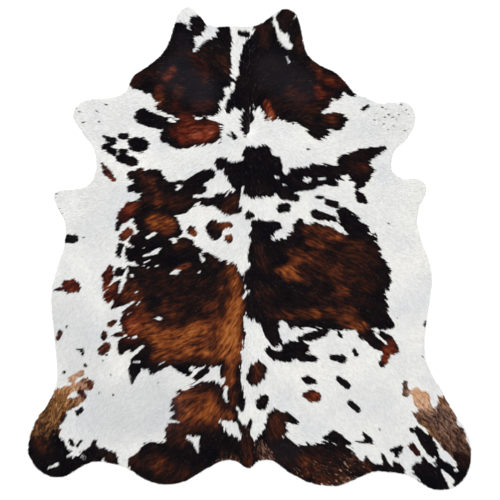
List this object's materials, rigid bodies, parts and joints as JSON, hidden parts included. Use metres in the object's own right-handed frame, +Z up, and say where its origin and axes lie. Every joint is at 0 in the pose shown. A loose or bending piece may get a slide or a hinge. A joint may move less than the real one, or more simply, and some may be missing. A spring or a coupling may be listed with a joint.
{
  "type": "cowhide rug",
  "caption": "Full-shape hair-on cowhide floor rug lying flat, with trimmed neck, legs and rump and a black, brown and white coat.",
  "frame": {"origin": "middle of the hide's bounding box, on the ground under it", "axes": "+Y along the spine towards the neck end, +X to the right as seen from above, +Z up out of the hair side"},
  "size_m": [2.0301, 2.216, 0.006],
  "materials": {
    "hair_on_hide": "short glossy hair, black, brown and white, over a matt suede back"
  },
  "bodies": {
    "root": {"hide": "hair_on_hide"}
  },
  "joints": []
}
